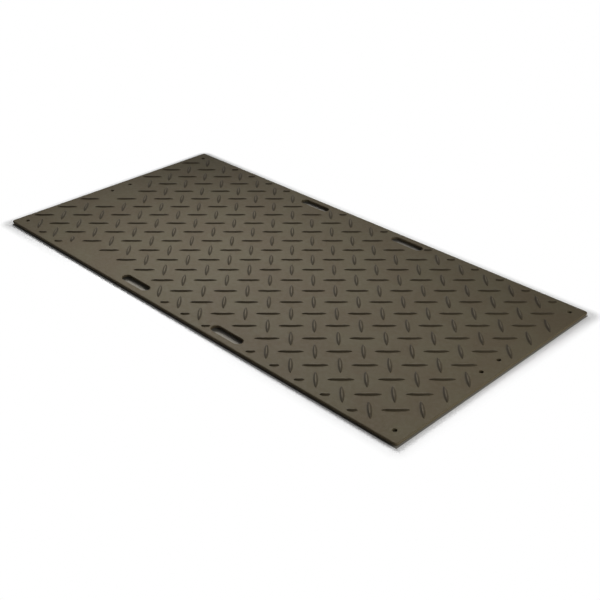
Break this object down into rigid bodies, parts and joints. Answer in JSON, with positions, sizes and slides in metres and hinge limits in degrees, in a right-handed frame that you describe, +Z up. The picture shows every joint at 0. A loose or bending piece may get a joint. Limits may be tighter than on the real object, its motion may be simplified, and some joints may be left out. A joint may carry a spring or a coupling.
{
  "type": "ground protection mat",
  "caption": "Flat moulded plastic ground protection mat with raised diagonal tread lugs on both faces, hand slots and bolt holes.",
  "frame": {"origin": "under the middle of the mat, at the level of the lower lugs that it stands on", "axes": "+X along the mat, +Y across it, +Z up out of the upper tread"},
  "size_m": [2.44, 1.22, 0.0254],
  "materials": {
    "moulded_polyethylene": "satin moulded, dark brownish grey"
  },
  "bodies": {
    "root": {"ground_mat": "moulded_polyethylene"}
  },
  "joints": []
}
